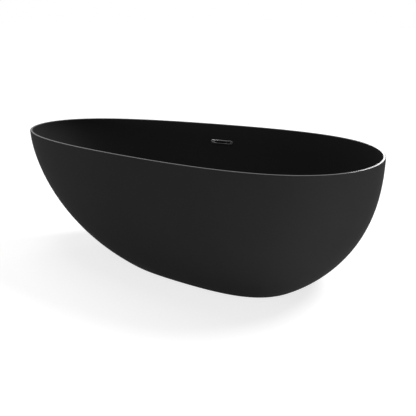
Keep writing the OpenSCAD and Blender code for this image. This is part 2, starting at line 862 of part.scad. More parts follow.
module overflow_trim() {
    ear_play = 0.2;
    color(chrome) at_overflow() difference() {
        union() {
            difference() {
                union() {
                    stadium(trim_length, trim_height, -trim_seat - trim_thick, -trim_seat);
                    stadium(sleeve_length, sleeve_height, -trim_seat - weld, sleeve_end);
                }
                stadium(slit_length, slit_height, -trim_seat - trim_thick - past, sleeve_end + past);
            }
            for (side = [-1, 1]) translate([side * ear_x, 0, 0])
                intersection() {
                    translate([-ear_length / 2, ear_front, -slit_height / 2 - past])
                        cube([ear_length, ear_back - ear_front, slit_height + 2 * past]);
                    translate([-side * ear_x, 0, 0])
                        stadium(slit_length + sleeve_wall, slit_height + sleeve_wall, ear_front, ear_back);
                }
        }
        ear_screw_places() rod(screw_m4 + ear_play, 0, sleeve_end);
    }
}

module overflow_screws() {
    head = 3.4;
    head_height = 2.2;
    tip_gap = 2;
    screw_end = body_face + body_depth - tip_gap;
    color(zinc) at_overflow() ear_screw_places() translate([0, 0, ear_front])
        pan_screw(screw_m4, head, head_height, screw_end - ear_front);
}

module overflow_gasket() {
    color(rubber) at_overflow() difference() {
        stadium(body_width, gasket_height, gasket_face, body_face);
        stadium(sleeve_length + 2 * sleeve_play, sleeve_height + 2 * sleeve_play,
            gasket_face - past, body_face + past);
    }
}

// Funnel that narrows from the slit's width to the spigot: a front view cut by a side view
neck_border = 4;
neck_back = 1.5;
module funnel(skin_wall, half, top) {
    neck = hose_radius + neck_border - skin_wall;
    back = spigot_y + spigot_radius + neck_back - skin_wall;
    front = body_face + skin_wall;
    flat_back = body_face + body_depth - skin_wall;
    foot = chamber_foot + skin_wall;
    intersection() {
        translate([0, back + past, 0]) rotate([90, 0, 0]) linear_extrude(back + past) polygon([
            [-half, top], [-half, throat_top + skin_wall], [-neck, throat_bottom], [-neck, foot],
            [neck, foot], [neck, throat_bottom], [half, throat_top + skin_wall], [half, top]
        ]);
        translate([-half, 0, 0]) rotate([90, 0, 90]) linear_extrude(2 * half) polygon([
            [front, top], [flat_back, top], [flat_back, throat_top + skin_wall],
            [back, throat_bottom], [back, foot], [front, foot]
        ]);
    }
}

module overflow_body() {
    spigot_foot = chamber_foot - overflow_spigot;
    color(black_plastic) at_overflow() difference() {
        union() {
            funnel(0, body_width / 2, gasket_height / 2);
            translate([0, spigot_y, 0]) rod(spigot_radius, spigot_foot, chamber_foot + weld);
        }
        funnel(chamber_wall, chamber_half, gasket_height / 2 - chamber_wall);
        stadium(sleeve_length + sleeve_play, sleeve_height + sleeve_play,
            body_face - past, sleeve_end + sleeve_play / 2);
        stadium(2 * chamber_half, slit_height, body_face - past, body_face + chamber_wall + past);
        ear_screw_places() rod(screw_m4 + fit, body_face - past, body_face + body_depth - screw_tip);
        translate([0, spigot_y, 0])
            rod(spigot_bore, spigot_foot - past, chamber_foot + chamber_wall + past);
    }
}

// ---------------------------------------------------------------- overflow hose

// Rings of the hose, square to its run: [reach from the drain, height, lean of the ring]
hose_sides = 24;
hose_steps = 9;
hose_run = concat(
    [[hose_top[0], hose_top[1], 90 - overflow_tilt]],
    [for (k = [hose_steps : -1 : 0]) let (a = (90 - overflow_tilt) * k / hose_steps)
        [bend_reach + hose_bend * sin(a), bend_z - hose_bend * cos(a), a]],
    [[hose_end, inlet_z, 0]]);
function hose_ring(place, radius) = [for (i = [0 : hose_sides - 1])
    let (a = i * 360 / hose_sides, out = radius * cos(a))
    [radius * sin(a), place[0] + out * sin(place[2]), place[1] - out * cos(place[2])]];

module overflow_hose() {
    bore = (hose_radius - hose_wall) / cos(180 / hose_sides);
    last = len(hose_run) - 1;
    color(grey_plastic) in_waste_plane() skin(concat(
        [for (k = [0 : last]) hose_ring(hose_run[k], hose_radius)],
        [for (k = [last : -1 : 0]) hose_ring(hose_run[k], bore)]), true);
}

module hose_clip() {
    housing = 8;
    housing_height = 5;
    color(zinc) union() {
        tube(hose_radius + fit + clip_thick, hose_radius + fit, 0, clip_width);
        translate([-housing / 2, hose_radius + fit + clip_thick / 2, 0])
            cube([housing, housing_height, clip_width]);
    }
}

module upper_hose_clip() {
    at_overflow() translate([0, spigot_y, hose_start - clip_place]) rotate([0, 0, 90]) hose_clip();
}

module lower_hose_clip() {
    in_waste_plane() translate([0, hose_end + clip_place - clip_width, inlet_z]) rotate([-90, 0, 0]) hose_clip();
}

inner_basin();
outer_shell();
base_board();
front_rail();
rear_rail();
narrow_end_cross_rail();
middle_cross_rail();
wide_end_cross_rail();
rail_end_caps();
board_screws();
front_narrow_bracket();
front_wide_bracket();
rear_narrow_bracket();
rear_wide_bracket();
bracket_bolts();
flange_screws();
weld_nuts();
lock_nuts();
front_narrow_pad();
front_wide_pad();
rear_narrow_pad();
rear_wide_pad();
middle_pad();
front_narrow_stud();
front_wide_stud();
rear_narrow_stud();
rear_wide_stud();
middle_stud();
drain_flange();
upper_drain_gasket();
lower_drain_gasket();
drain_cap();
stopper_seal();
stopper_stem();
stopper_spring();
stopper_cartridge();
waste_body();
slip_washer();
slip_nut();
tailpiece();
overflow_trim();
overflow_screws();
overflow_gasket();
overflow_body();
overflow_hose();
upper_hose_clip();
lower_hose_clip();
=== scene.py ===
"""A freestanding egg-shaped bathtub: smooth moulded shell and basin, fittings, finishes and a plain studio.

Lengths are in millimetres while a shape is worked out, and turn into metres as its mesh is made.
"""
import json
import math

import bpy
import numpy as np
from mathutils import Matrix, Vector


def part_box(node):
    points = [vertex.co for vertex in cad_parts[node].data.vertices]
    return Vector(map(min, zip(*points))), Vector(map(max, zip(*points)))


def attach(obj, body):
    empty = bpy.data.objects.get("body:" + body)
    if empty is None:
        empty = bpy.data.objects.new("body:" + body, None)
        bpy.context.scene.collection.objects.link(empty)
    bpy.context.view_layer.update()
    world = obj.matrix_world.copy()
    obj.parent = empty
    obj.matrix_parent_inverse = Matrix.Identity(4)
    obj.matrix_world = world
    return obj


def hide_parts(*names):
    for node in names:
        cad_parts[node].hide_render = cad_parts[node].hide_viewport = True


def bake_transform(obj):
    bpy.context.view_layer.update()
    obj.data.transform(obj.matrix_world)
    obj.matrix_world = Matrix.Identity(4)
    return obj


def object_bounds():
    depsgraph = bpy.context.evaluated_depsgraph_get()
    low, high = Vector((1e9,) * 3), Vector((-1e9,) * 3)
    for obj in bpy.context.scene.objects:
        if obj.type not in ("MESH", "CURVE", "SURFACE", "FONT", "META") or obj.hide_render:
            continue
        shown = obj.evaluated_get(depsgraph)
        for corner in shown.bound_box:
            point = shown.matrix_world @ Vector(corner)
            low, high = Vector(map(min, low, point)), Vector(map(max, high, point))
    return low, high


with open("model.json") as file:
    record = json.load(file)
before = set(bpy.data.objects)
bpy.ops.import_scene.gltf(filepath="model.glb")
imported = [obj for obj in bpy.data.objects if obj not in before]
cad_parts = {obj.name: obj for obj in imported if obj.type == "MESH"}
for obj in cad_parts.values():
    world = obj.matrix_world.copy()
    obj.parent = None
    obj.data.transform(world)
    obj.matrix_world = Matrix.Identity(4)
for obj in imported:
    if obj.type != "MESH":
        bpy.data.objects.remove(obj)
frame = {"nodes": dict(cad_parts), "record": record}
cad_low, cad_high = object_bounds()
MM = 0.001


def add_object(name, data):
    """A new object in the scene, which shows this data."""
    made = bpy.data.objects.new(name, data)
    bpy.context.scene.collection.objects.link(made)
    return made


def aim(thing, direction, axis="-Z"):
    """Turns a camera or lamp so that its axis runs along direction."""
    thing.rotation_mode = "QUATERNION"
    thing.rotation_quaternion = direction.to_track_quat(axis, "Y")


# ---------------------------------------------------------------- camera

CAMERA_AZIMUTH = 27.643     # degrees from the front, towards the wide end
CAMERA_ELEVATION = 18.792   # degrees above the floor
CAMERA_DISTANCE = 2.6922
CAMERA_LENS = 51.43
CAMERA_SENSOR = 36.0
TARGET_ALONG = 0.0938       # how far the camera looks past the middle, towards the wide end
TARGET_BELOW = 0.0210       # and below the middle of the height


def make_camera():
    """The camera circles the object at an azimuth from the front and an elevation above the floor."""
    target = (cad_low + cad_high) / 2 + Vector((TARGET_ALONG, 0, -TARGET_BELOW))
    azimuth, elevation = math.radians(CAMERA_AZIMUTH), math.radians(CAMERA_ELEVATION)
    back = Vector((
        math.sin(azimuth) * math.cos(elevation),
        -math.cos(azimuth) * math.cos(elevation),
        math.sin(elevation),
    ))
    data = bpy.data.cameras.new("camera")
    data.sensor_width = CAMERA_SENSOR
    data.lens = CAMERA_LENS
    camera = add_object("camera", data)
    camera.location = target + back * CAMERA_DISTANCE
    aim(camera, -back)
    bpy.context.scene.camera = camera


make_camera()

# ---------------------------------------------------------------- the tub's form

LENGTH = (cad_high.x - cad_low.x) / MM
WIDTH = (cad_high.y - cad_low.y) / MM
HEIGHT = cad_high.z / MM
KEEL_X = 200                # where the shell reaches its lowest point, had it no flat foot
KEEL_BELOW = 102            # how far below the floor that point would lie
NARROW_CURVE = 1.7          # powers of the shell's rise to the rim, at its ends and sides
WIDE_CURVE = 2.4
SIDE_CURVE = 3.2
RIM_SKEW, RIM_FILL = 0.20, 0.27     # how far the rim is widest to the wide end, and how full its ends are
BASE_SKEW, BASE_FILL = 0.15, 0.335  # the same for the outline at the floor
WALL = 6                    # thickness of the shell and the basin
RIM_WIDTH = 14
RIM_THICK = 6
RIM_ROUND = 2.5             # the rim's outer edge
RIM_INNER_ROUND = 4         # and its inner edge, which is softer
SHELL_GAP = 2               # from the floor of the room up to the shell
FOOT_FLANGE = 30            # width of the flange that runs inwards round the shell's foot
FLOOR_HEIGHT = 135          # the basin's floor
BASIN_FLOOR = (-330, 560, 380, 0.12, 0.30)      # its egg outline, see egg_points
RISE_NARROW = np.array([1.6, 1.55])     # powers of the basin's rise: its upper part and its foot
RISE_WIDE = np.array([2.0, 1.8])
RISE_SIDE = np.array([1.15, 1.5])
SEAM_Z = HEIGHT - RIM_THICK             # where the rim lies on the shell
BASIN_DEPTH = HEIGHT - FLOOR_HEIGHT

SIDES = 288                 # points round the tub
SHELL_ROWS = 64
BASIN_ROWS = 64
RIM_STEPS = 6               # steps in each rounded edge of the rim
WIDEST_SEARCH = np.radians(np.arange(0, 180, 0.25))     # angles among which an egg's widest place is found


def full_turn(sides):
    """Angles of sides points round a full turn, without its end."""
    return np.arange(sides) * 2 * math.pi / sides


def quarter_turn(steps):
    """Angles from 0 to a quarter turn in even steps, with both ends."""
    return np.linspace(0, math.pi / 2, steps + 1)


angles = full_turn(SIDES)


def bulge(a, skew, fill):
    """Half the width of an egg outline at angle a, before it is scaled."""
    return np.sin(a) * (1 + skew * np.cos(a) + fill * np.cos(a) ** 2)


def egg_points(egg, a):
    """Points of an egg outline at angles a. egg is (narrow end x, wide end x, width, skew, fill)."""
    narrow, wide, width, skew, fill = egg
    peak = bulge(WIDEST_SEARCH, skew, fill).max()
    x = (narrow + wide) / 2 + (wide - narrow) / 2 * np.cos(a)
    y = width / 2 * bulge(a, skew, fill) / peak
    return np.stack([x, y], axis=-1)


def shrink(z, power):
    """How much of the rim's size is left at height z, from all of it at the rim to none at the keel."""
    return math.sqrt(1 - ((HEIGHT - z) / (HEIGHT + KEEL_BELOW)) ** power)


def shell_egg(z):
    """The shell's egg outline at height z."""
    share = z / HEIGHT
    return (
        KEEL_X - (KEEL_X + LENGTH / 2) * shrink(z, NARROW_CURVE),
        KEEL_X + (LENGTH / 2 - KEEL_X) * shrink(z, WIDE_CURVE),
        WIDTH * shrink(z, SIDE_CURVE),
        BASE_SKEW + (RIM_SKEW - BASE_SKEW) * share,
        BASE_FILL + (RIM_FILL - BASE_FILL) * share,
    )


def ring_normals(ring):
    """Outward unit normals of a closed flat ring of points."""
    along = np.roll(ring, -1, axis=0) - np.roll(ring, 1, axis=0)
    out = np.stack([along[:, 1], -along[:, 0]], axis=-1)
    return out / np.linalg.norm(out, axis=1, keepdims=True)


def inset(ring, by):
    """A flat ring moved inwards, square to itself."""
    return ring - by * ring_normals(ring)


def lift(ring, z):
    """A flat ring at height z."""
    return np.column_stack([ring, np.full(len(ring), float(z))])


def shell_ring(z):
    return egg_points(shell_egg(z), angles)


def shell_inside(z):
    """Inside of the shell at height z, moved in so that the wall is as thick all over."""
    ring = shell_ring(z)
    normals = ring_normals(ring)
    lean = ((shell_ring(z + 1) - ring) * normals).sum(axis=1, keepdims=True)
    return ring - WALL * np.sqrt(1 + lean ** 2) * normals


rim_outline = shell_ring(HEIGHT)
rim_inner = inset(rim_outline, RIM_WIDTH)


def rise_powers(a):
    """The two powers of the basin's rise at angle a: its upper part and its foot."""
    end = np.where(np.cos(a)[..., None] > 0, RISE_WIDE, RISE_NARROW)
    along = np.cos(a)[..., None] ** 2
    return end * along + RISE_SIDE * (1 - along)


def basin_points(a, rim_xy, t):
    """The basin's inside at angles a and step t, from 0 at its floor to a quarter turn at the rim."""
    powers = rise_powers(a)
    floor_xy = egg_points(BASIN_FLOOR, a)
    reach = math.sin(t) ** (2 / powers[..., 1])
    height = 1 - max(math.cos(t), 0.0) ** (2 / powers[..., 0])
    xy = floor_xy + (rim_xy - floor_xy) * reach[..., None]
    return np.concatenate([xy, (FLOOR_HEIGHT + BASIN_DEPTH * height)[..., None]], axis=-1)


# ---------------------------------------------------------------- where the overflow and the drain sit

OVERFLOW_ANGLE = 92         # degrees round the egg, from its wide end
OVERFLOW_DROP = 84          # from the rim down to the slit
RIM_STEP = math.radians(1)      # steps to either side that give the wall's directions there
ALONG_STEP = math.radians(2)
CLIMB_STEP = math.radians(1)


def rim_inner_point(a, step):
    """The rim's inner edge at one angle, with the outline's direction taken a step to either side."""
    before, after = egg_points(shell_egg(HEIGHT), np.array([a - step, a + step]))
    along = after - before
    out = np.array([along[1], -along[0]]) / np.linalg.norm(along)
    return egg_points(shell_egg(HEIGHT), np.array([a])) - RIM_WIDTH * out


def wall_at_slit(a, climb=0.0):
    """The basin's wall at angle a and the slit's height, or climb further up."""
    share = (HEIGHT - OVERFLOW_DROP - FLOOR_HEIGHT) / BASIN_DEPTH
    t = math.acos((1 - share) ** (rise_powers(np.array([a]))[0, 0] / 2))
    return basin_points(np.array([a]), rim_inner_point(a, RIM_STEP), t + climb)[0]


def overflow_frame():
    """Where the overflow sits: the middle of its slit, its turn about the vertical and the wall's tilt."""
    a = math.radians(OVERFLOW_ANGLE)
    run = wall_at_slit(a + ALONG_STEP) - wall_at_slit(a - ALONG_STEP)
    turn = math.atan2(-run[1], -run[0])
    climb = wall_at_slit(a, CLIMB_STEP) - wall_at_slit(a, -CLIMB_STEP)
    tilt = math.atan2(climb[0] * -math.sin(turn) + climb[1] * math.cos(turn), climb[2])
    return wall_at_slit(a), turn, tilt


overflow_place, overflow_turn, overflow_tilt = overflow_frame()
overflow_matrix = (
    Matrix.Translation(Vector(overflow_place))
    @ Matrix.Rotation(overflow_turn, 4, "Z")
    @ Matrix.Rotation(-overflow_tilt, 4, "X")
)
drain_x = overflow_place[0] + overflow_place[1] * math.tan(overflow_turn)
drain_matrix = Matrix.Translation((drain_x, 0, 0)) @ Matrix.Rotation(overflow_turn, 4, "Z")

# ---------------------------------------------------------------- mesh helpers

SMOOTH_BELOW = math.radians(32)


def add_mesh(name, points, faces, material):
    """A mesh object from points in millimetres. Edges flatter than SMOOTH_BELOW shade smoothly."""
    mesh = bpy.data.meshes.new(name)
    mesh.from_pydata((np.asarray(points, float) * MM).tolist(), [], faces)
    mesh.validate()
    mesh.shade_smooth()
    mesh.set_sharp_from_angle(angle=SMOOTH_BELOW)
    mesh.materials.append(material)
    return add_object(name, mesh)


def skin_faces(count, around, closed):
    """Faces between a stack of rings. A closed stack joins its last ring to its first.

    An open one gets a flat face at each end.
    """
    faces = []
    for j in range(count if closed else count - 1):
        up = (j + 1) % count
        for i in range(around):
            right = (i + 1) % around
            faces.append((j * around + i, j * around + right, up * around + right, up * around + i))
    if not closed:
        faces.append(tuple(range(around - 1, -1, -1)))
        faces.append(tuple((count - 1) * around + i for i in range(around)))
    return faces


def rings_object(name, rings, closed, material):
    """A piece skinned over a stack of rings."""
    return add_mesh(name, np.concatenate(rings), skin_faces(len(rings), len(rings[0]), closed), material)


def level_ring(radius, z, sides):
    """A ring about the z axis at height z. radius is one number, or one for each of its points."""
    turn = full_turn(sides)
    return np.column_stack([radius * np.cos(turn), radius * np.sin(turn), np.full(sides, float(z))])


def turned_object(name, profile, sides, material):
    """A closed piece turned about the z axis. profile is its (radius, z) from one end to the other."""
    return rings_object(name, [level_ring(radius, z, sides) for radius, z in profile], False, material)


def stadium_ring(length, height, y, steps=16):
    """A ring in the x-z plane at y: a bar with round ends."""
    reach, radius = (length - height) / 2, height / 2
    half = np.linspace(-math.pi / 2, math.pi / 2, steps + 1)
    right = np.column_stack([reach + radius * np.cos(half), np.full(steps + 1, y), radius * np.sin(half)])
    left = np.column_stack([-reach - radius * np.cos(half), np.full(steps + 1, y), -radius * np.sin(half)])
    return np.concatenate([right, left])


def place_mesh(piece, matrix):
    """Moves a mesh made in millimetres about the origin to where matrix puts it."""
    piece.data.transform(Matrix.Scale(MM, 4) @ matrix @ Matrix.Scale(1 / MM, 4))


def cut(piece, cutter, operation="DIFFERENCE"):
    """Cuts the closed mesh cutter out of piece, or joins it on, and removes the cutter."""
    modifier = piece.modifiers.new("cut", "BOOLEAN")
    modifier.operation = operation
    modifier.solver = "EXACT"
    modifier.object = cutter
    bpy.context.view_layer.update()
    shaped = piece.evaluated_get(bpy.context.evaluated_depsgraph_get())
    mesh = bpy.data.meshes.new_from_object(shaped)
    piece.modifiers.clear()
    old = piece.data
    piece.data = mesh
    mesh.name = piece.name
    bpy.data.meshes.remove(old)
    bpy.data.objects.remove(cutter)


def finish_piece(piece, body, node):
    """Shades a piece after its cuts, says what it rides on and hides the CAD node that it replaces."""
    piece.data.shade_smooth()
    piece.data.set_sharp_from_angle(angle=SMOOTH_BELOW)
    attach(piece, body)
    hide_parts(node)


def nodes_ending(ending):
    """Names of the CAD nodes with this ending."""
    return [name for name in frame["nodes"] if name.endswith(ending)]


# ---------------------------------------------------------------- materials


def map_range(tree, value, from_range, to_range, interpolation="LINEAR"):
    """A node that carries a number from one range to another."""
    node = tree.nodes.new("ShaderNodeMapRange")
    node.interpolation_type = interpolation
    node.inputs["From Min"].default_value, node.inputs["From Max"].default_value = from_range
    node.inputs["To Min"].default_value, node.inputs["To Max"].default_value = to_range
    tree.links.new(value, node.inputs["Value"])
    return node.outputs["Result"]


class Nodes:
    """Builds one material's node tree. Noise scales are in waves per metre."""

    NOISE_MIDDLE = (0.3, 0.7)   # most of a noise's values lie between these

    def __init__(self, name):
        self.material = bpy.data.materials.new(name)
        self.material.use_nodes = True
        self.tree = self.material.node_tree
        self.shader = self.tree.nodes["Principled BSDF"]
        coordinates = self.tree.nodes.new("ShaderNodeTexCoord")
        self.place = coordinates.outputs["Object"]

    def add(self, kind, **values):
        """A node of this kind. values are its inputs or its settings, by name."""
        node = self.tree.nodes.new(kind)
        for key, value in values.items():
            if key in node.inputs:
                node.inputs[key].default_value = value
            else:
                setattr(node, key, value)
        return node

    def link(self, source, target):
        self.tree.links.new(source, target)

    def set(self, **values):
        """Sets even values on the shader's own sockets. An underscore in a name stands for a space."""
        for key, value in values.items():
            self.shader.inputs[key.replace("_", " ")].default_value = value

    def stretched(self, scale):
        """Object coordinates stretched by a factor along each axis."""
        node = self.add("ShaderNodeMapping", Scale=scale)
        self.link(self.place, node.inputs["Vector"])
        return node.outputs["Vector"]

    def noise(self, scale, detail=4.0, roughness=0.5, along=None):
        node = self.add("ShaderNodeTexNoise", Scale=scale, Detail=detail, Roughness=roughness)
        self.link(along or self.place, node.inputs["Vector"])
        return node.outputs["Fac"]

    def ramp(self, factor, stops):
        """A colour ramp. stops are (place, grey) or (place, (r, g, b))."""
        node = self.add("ShaderNodeValToRGB")
        while len(node.color_ramp.elements) < len(stops):
            node.color_ramp.elements.new(0.5)
        for element, (place, colour) in zip(node.color_ramp.elements, stops):
            element.position = place
            element.color = (*colour, 1) if isinstance(colour, tuple) else (colour, colour, colour, 1)
        self.link(factor, node.inputs["Fac"])
        return node.outputs["Color"]

    def cloudy_colour(self, scale, low, high, between=NOISE_MIDDLE):
        """A colour that drifts from low to high in soft clouds."""
        clouds = self.ramp(self.noise(scale), list(zip(between, (low, high))))
        self.link(clouds, self.shader.inputs["Base Color"])

    def uneven_gloss(self, factor, low, high):
        """A roughness that goes from low to high as factor goes through the middle of its range."""
        roughness = map_range(self.tree, factor, self.NOISE_MIDDLE, (low, high))
        self.link(roughness, self.shader.inputs["Roughness"])

    def bump(self, height, strength, distance):
        node = self.add("ShaderNodeBump", Strength=strength, Distance=distance)
        self.link(height, node.inputs["Height"])
        self.link(node.outputs["Normal"], self.shader.inputs["Normal"])


ACRYLIC_TONE = 0.0298


def acrylic(name, specular, roughness):
    """Black cast acrylic: an even deep tone with a faint moulded ripple."""
    m = Nodes(name)
    m.set(Specular_IOR_Level=specular)
    m.cloudy_colour(2.2, ACRYLIC_TONE, ACRYLIC_TONE + 0.003)
    m.uneven_gloss(m.noise(7.0), roughness - 0.03, roughness + 0.03)
    m.bump(m.noise(140.0, detail=2.0), strength=0.04, distance=0.0004)
    return m.material


def chrome():
    """Polished chrome with a trace of wiping marks."""
    m = Nodes("chrome")
    m.set(Metallic=1.0)
    m.cloudy_colour(60.0, (0.74, 0.75, 0.76), (0.80, 0.81, 0.82))
    m.uneven_gloss(m.noise(90.0, detail=6.0), 0.10, 0.16)
    m.bump(m.noise(220.0), strength=0.03, distance=0.0003)
    return m.material


def zinc(name="zinc_steel", tone=0.60, roughness=0.38):
    """Zinc-plated steel: cloudy grey with a slight warm cast."""
    m = Nodes(name)
    m.set(Metallic=1.0)
    low, high = tone * 0.85, tone * 1.05
    m.cloudy_colour(75.0, (low, low, low * 0.96), (high, high, high * 0.93))
    m.uneven_gloss(m.noise(160.0), roughness - 0.07, roughness + 0.07)
    m.bump(m.noise(600.0), strength=0.08, distance=0.0003)
    return m.material


def painted_steel():
    """Powder-coated frame tube with its fine orange-peel grain."""
    m = Nodes("painted_steel")
    m.cloudy_colour(18.0, (0.085, 0.09, 0.10), (0.11, 0.115, 0.125))
    m.uneven_gloss(m.noise(300.0), 0.42, 0.52)
    m.bump(m.noise(700.0, detail=2.0), strength=0.35, distance=0.0004)
    return m.material


def rubber():
    """Matte black rubber, slightly dusty in patches."""
    m = Nodes("rubber")
    m.set(Specular_IOR_Level=0.35)
    m.cloudy_colour(35.0, 0.022, 0.040, between=(0.35, 0.75))
    m.uneven_gloss(m.noise(90.0), 0.68, 0.82)
    m.bump(m.noise(900.0), strength=0.15, distance=0.0003)
    return m.material


def white_plastic():
    """Moulded off-white plastic of the waste fittings."""
    m = Nodes("white_plastic")
    m.cloudy_colour(14.0, (0.74, 0.74, 0.70), (0.80, 0.80, 0.77))
    m.uneven_gloss(m.noise(60.0), 0.36, 0.46)
    m.bump(m.noise(420.0, detail=2.0), strength=0.10, distance=0.0003)
    return m.material


def black_plastic():
    """Moulded black plastic of the overflow's funnel, a little dull."""
    m = Nodes("black_plastic")
    m.set(Specular_IOR_Level=0.3)
    m.cloudy_colour(20.0, 0.014, 0.022)
    m.uneven_gloss(m.noise(70.0), 0.50, 0.62)
    m.bump(m.noise(420.0, detail=2.0), strength=0.10, distance=0.0003)
    return m.material


def grey_hose():
    """Flexible grey hose plastic, a little scuffed in patches."""
    m = Nodes("grey_hose")
    m.cloudy_colour(40.0, (0.20, 0.21, 0.22), (0.27, 0.28, 0.29))
    m.uneven_gloss(m.noise(150.0), 0.45, 0.60)
    m.bump(m.noise(500.0), strength=0.12, distance=0.0003)
    return m.material


PLY_GRAIN_STRETCH = (1.0, 14.0, 3.0)    # the grain runs along the board
PLY_BANDS = 110.0                       # scale of the bands that are its plies
WOOD_TONES = [(0.30, (0.36, 0.245, 0.135)), (0.52, (0.50, 0.365, 0.22)), (0.72, (0.58, 0.44, 0.28))]
GLUE_LINES = [(0.05, 0.45), (0.22, 1.0)]


def plywood():
    """Birch plywood: long grain on its faces and thin dark glue lines round its edge."""
    m = Nodes("plywood")
    grain = m.noise(5.0, detail=8.0, roughness=0.62, along=m.stretched(PLY_GRAIN_STRETCH))
    wood = m.ramp(grain, WOOD_TONES)
    bands = {"wave_type": "BANDS", "bands_direction": "Z", "wave_profile": "SIN"}
    plies = m.add("ShaderNodeTexWave", Scale=PLY_BANDS, **bands)
    m.link(m.place, plies.inputs["Vector"])
    edge = m.add("ShaderNodeMix", data_type="RGBA", blend_type="MULTIPLY")
    edge.inputs["Factor"].default_value = 1.0
    m.link(wood, edge.inputs["A"])
    m.link(m.ramp(plies.outputs["Fac"], GLUE_LINES), edge.inputs["B"])
    geometry = m.add("ShaderNodeNewGeometry")
    normal = m.add("ShaderNodeSeparateXYZ")
    m.link(geometry.outputs["Normal"], normal.inputs["Vector"])
    upright = m.add("ShaderNodeMath", operation="ABSOLUTE")
    m.link(normal.outputs["Z"], upright.inputs[0])
    face_or_edge = m.add("ShaderNodeMix", data_type="RGBA")
    m.link(upright.outputs[0], face_or_edge.inputs["Factor"])
    m.link(edge.outputs["Result"], face_or_edge.inputs["A"])
    m.link(wood, face_or_edge.inputs["B"])
    m.link(face_or_edge.outputs["Result"], m.shader.inputs["Base Color"])
    m.uneven_gloss(grain, 0.55, 0.70)
    m.bump(grain, strength=0.25, distance=0.0006)
    return m.material


finishes = {
    "satin_acrylic": acrylic("satin_acrylic", specular=0.005, roughness=0.61),
    "polished_rim": acrylic("polished_rim", specular=0.14, roughness=0.25),
    "plywood": plywood(),
    "painted_steel": painted_steel(),
    "zinc_steel": zinc(),
    "spring_steel": zinc("spring_steel", tone=0.50, roughness=0.28),
    "chrome": chrome(),
    "rubber": rubber(),
    "white_plastic": white_plastic(),
    "black_plastic": black_plastic(),
    "grey_hose": grey_hose(),
}

# ---------------------------------------------------------------- CAD nodes that stay

SOFT_EDGES = {"painted_steel": 0.6, "zinc_steel": 0.25, "chrome": 0.3}      # width of the easing, by slot
# These are left as they are, because their finely stepped curves leave no room for it.
EDGES_TOO_CLOSE = {"front_rail", "rear_rail", "drain_flange", "stopper_cartridge"}
WELD_GAP = 2e-6                 # corners nearer than this are one
FLAT_BELOW = math.radians(0.5)  # triangles that meet at less than this are one flat face
BEVEL_ABOVE = math.radians(38)  # edges sharper than this are eased


def ease_edges(node, width):
    """Rounds a node's sharp edges. Its faces come apart, so they are joined and made whole first."""
    weld = node.modifiers.new("joined_faces", "WELD")
    weld.merge_threshold = WELD_GAP
    whole = node.modifiers.new("whole_faces", "DECIMATE")
    whole.decimate_type = "DISSOLVE"
    whole.angle_limit = FLAT_BELOW
    bevel = node.modifiers.new("eased_edges", "BEVEL")
    bevel.width = width * MM
    bevel.segments = 2
    bevel.limit_method = "ANGLE"
    bevel.angle_limit = BEVEL_ABOVE
    bevel.harden_normals = True


def dress_cad_nodes():
    """Every CAD node takes its slot's finish, and metal edges are eased as on the real piece."""
    for subpart in frame["record"]["subparts"]:
        node = frame["nodes"][subpart["node"]]
        slot = subpart["material_slot"]
        node.data.materials.clear()
        node.data.materials.append(finishes[slot])
        if slot in SOFT_EDGES and subpart["node"] not in EDGES_TOO_CLOSE:
            ease_edges(node, SOFT_EDGES[slot])


dress_cad_nodes()

# ---------------------------------------------------------------- shell and basin


def make_shell():
    """The outer shell: one even skin with an inward flange round its foot."""
    levels = SHELL_GAP + (SEAM_Z - SHELL_GAP) * np.linspace(0, 1, SHELL_ROWS + 1)
    flange_top = SHELL_GAP + WALL
    flange_edge = inset(shell_ring(SHELL_GAP), FOOT_FLANGE)
    outside = [lift(shell_ring(z), z) for z in levels]
    inside = [lift(shell_inside(z), z) for z in levels[:0:-1] if z > flange_top]
    foot = [
        lift(shell_inside(flange_top), flange_top),
        lift(flange_edge, flange_top),
        lift(flange_edge, SHELL_GAP),
    ]
    piece = rings_object("tub_shell", outside + inside + foot, True, finishes["satin_acrylic"])
    finish_piece(piece, "root", "outer_shell")


def basin_underside(inside):
    """Rings a wall's thickness outside the basin's inside, up to just below the rim."""
    straight_down = np.tile([0.0, 0.0, -1.0], (SIDES, 1))
    rings = []
    for j in range(BASIN_ROWS):
        if j == 0:
            normals = straight_down
        else:
            along = np.roll(inside[j], -1, axis=0) - np.roll(inside[j], 1, axis=0)
            normals = np.cross(along, inside[j + 1] - inside[j - 1])
            normals /= np.linalg.norm(normals, axis=1, keepdims=True)
        ring = inside[j] + WALL * normals
        if ring[:, 2].max() < SEAM_Z - WALL / 2:
            rings.append(ring)
    return rings


def rim_edge(place, radius, turns):
    """Rings round an edge of the rim, place in from its outline. turns are (inward, down) in radii."""
    rings = []
    for inward, down in turns:
        rings.append(lift(inset(rim_outline, place + radius * inward), HEIGHT - radius * down))
    return rings


def make_basin():
    """The basin: inside, rim with rounded edges, and its underside a wall's thickness away."""
    inside = [basin_points(angles, rim_inner, t) for t in quarter_turn(BASIN_ROWS)]
    outside = basin_underside(inside)
    under = [lift(inset(rim_outline, RIM_WIDTH - WALL), SEAM_Z), lift(rim_outline, SEAM_Z)]
    arc = quarter_turn(RIM_STEPS)
    outer_edge = rim_edge(0, RIM_ROUND, [(1 - math.cos(a), 1 - math.sin(a)) for a in arc])
    inner_edge = rim_edge(RIM_WIDTH, RIM_INNER_ROUND, [(math.sin(a) - 1, 1 - math.cos(a)) for a in arc])
    lip = HEIGHT - RIM_INNER_ROUND
    inner = [ring for ring in inside[:-1] if ring[:, 2].max() < lip]
    rings = outside + under + outer_edge + inner_edge + inner[::-1]
    piece = rings_object("tub_basin", rings, False, finishes["satin_acrylic"])
    polish_rim(piece, len(outside) + len(under) + RIM_STEPS)
    cut_drain_seat(piece)
    cut_overflow_slot(piece)
    finish_piece(piece, "root", "inner_basin")


